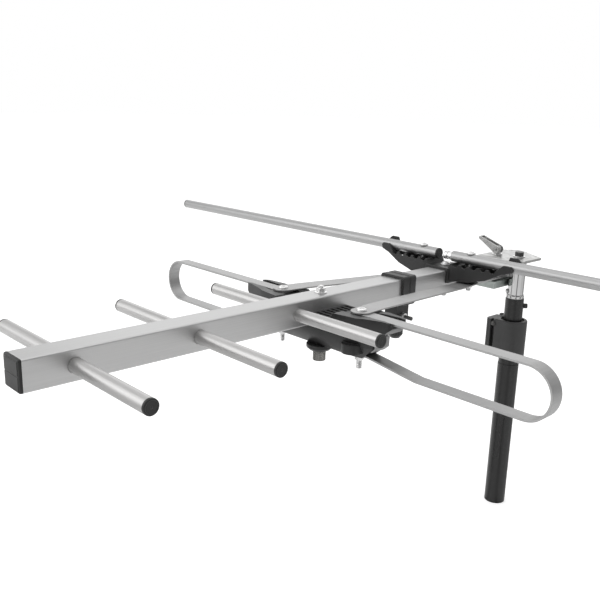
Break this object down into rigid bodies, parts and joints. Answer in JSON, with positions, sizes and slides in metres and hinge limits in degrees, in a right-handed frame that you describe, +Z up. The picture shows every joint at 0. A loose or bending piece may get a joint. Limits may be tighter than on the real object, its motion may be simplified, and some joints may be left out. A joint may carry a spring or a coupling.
{
  "type": "vhf uhf antenna",
  "caption": "Television aerial with a folded UHF dipole, directors and long VHF rods on a square boom, clamped to the top of a telescoping mast.",
  "frame": {"origin": "centre of the mast's foot", "axes": "+Z up the mast, the boom along Y with its front end towards -Y, the rods along X"},
  "size_m": [1.004, 0.648, 0.3403],
  "materials": {
    "boom_aluminium": "satin anodised extrusion",
    "rod_aluminium": "drawn tube, soft brushed",
    "bright_aluminium": "bright turned",
    "strip_aluminium": "satin rolled strip",
    "black_plastic": "matt moulded",
    "housing_plastic": "fine-grained moulding",
    "clip_plastic": "moulded with eased ribs",
    "clamp_plastic": "moulded, light grain",
    "grey_plastic": "pale moulded",
    "zinc_bright": "bright zinc plated",
    "dark_steel": "blackened steel",
    "pressed_steel": "galvanised pressing",
    "zinc_saddle": "passivated zinc",
    "chrome": "bright chromed",
    "plug_plastic": "moulded",
    "mast_black": "black powder coat",
    "knob_black": "moulded",
    "socket_metal": "nickel plated",
    "pin_brass": "plated brass",
    "board_green": "laminate",
    "ferrite": "sintered"
  },
  "bodies": {
    "mast_base": {"lower_tube": "mast_black", "clamp_body": "clamp_plastic", "clamp_pin": "dark_steel", "clamp_screw": "dark_steel"},
    "upper_mast": {"upper_tube": "mast_black", "thumb_screw": "knob_black"},
    "head": {"boom_tube": "boom_aluminium", "director_rod_1": "rod_aluminium", "director_rod_2": "rod_aluminium", "director_rod_3": "rod_aluminium", "vhf_rod_left": "rod_aluminium", "vhf_rod_right": "rod_aluminium", "vhf_spigot": "bright_aluminium", "folded_dipole": "strip_aluminium", "phasing_strap_left": "strip_aluminium", "phasing_strap_right": "strip_aluminium", "boom_front_cap": "black_plastic", "boom_rear_cap": "black_plastic", "director_caps": "black_plastic", "vhf_rod_caps": "black_plastic", "vhf_tray": "housing_plastic", "dipole_housing": "housing_plastic", "dipole_cover": "housing_plastic", "coax_collar": "housing_plastic", "boom_clip": "clip_plastic", "cover_ends": "grey_plastic", "vhf_rod_bolts": "zinc_bright", "vhf_rod_nuts": "zinc_bright", "vhf_tray_bolt": "zinc_bright", "vhf_tray_washer": "zinc_bright", "vhf_tray_nut": "zinc_bright", "housing_bolt": "zinc_bright", "housing_washer": "zinc_bright", "housing_nut": "zinc_bright", "terminal_bolts": "zinc_bright", "terminal_nuts": "zinc_bright", "terminal_washers": "zinc_bright", "head_washer": "zinc_bright", "head_nut": "zinc_bright", "head_stud": "zinc_bright", "mast_washer": "zinc_bright", "clip_barrel": "zinc_bright", "mast_bolt": "dark_steel", "clip_screw": "dark_steel", "head_plate": "pressed_steel", "head_bolt": "pressed_steel", "head_lever_pin": "pressed_steel", "head_saddle": "zinc_saddle", "mast_stub": "chrome", "mast_ring": "chrome", "mast_plug": "plug_plastic", "coax_socket": "socket_metal", "coax_pin": "pin_brass", "balun_board": "board_green", "balun_core": "ferrite"},
    "clamp_lever": {"clamp_lever": "clamp_plastic"},
    "head_lever": {"head_lever": "pressed_steel"},
    "snap_button": {"snap_button": "chrome"},
    "clip_knob": {"clip_knob": "clip_plastic"}
  },
  "joints": [
    {"name": "mast_slide", "type": "slide", "parent": "mast_base", "child": "upper_mast", "axis": [0, 0, 1], "range_m": [-0.012, 0.09]},
    {"name": "mast_turn", "type": "hinge", "parent": "upper_mast", "child": "head", "pos_m": [0, 0, 0.27], "axis": [0, 0, 1], "range_deg": [-180, 180]},
    {"name": "clamp_lever", "type": "hinge", "parent": "mast_base", "child": "clamp_lever", "pos_m": [-0.02265, 0.0127, 0.219], "axis": [0, 0, 1], "range_deg": [-100, 0]},
    {"name": "head_lever", "type": "hinge", "parent": "head", "child": "head_lever", "pos_m": [-0.0253, -0.008, 0.32665], "axis": [0, 1, 0], "range_deg": [0, 110]},
    {"name": "snap_button", "type": "slide", "parent": "head", "child": "snap_button", "axis": [-0.6947, -0.7193, 0], "range_m": [-0.0026, 0], "stiffness_N_per_m": 400, "springref_m": 0.002},
    {"name": "clip_knob", "type": "hinge", "parent": "head", "child": "clip_knob", "pos_m": [-0.0253, -0.193, 0.265], "axis": [0, 0, 1], "continuous": true}
  ]
}
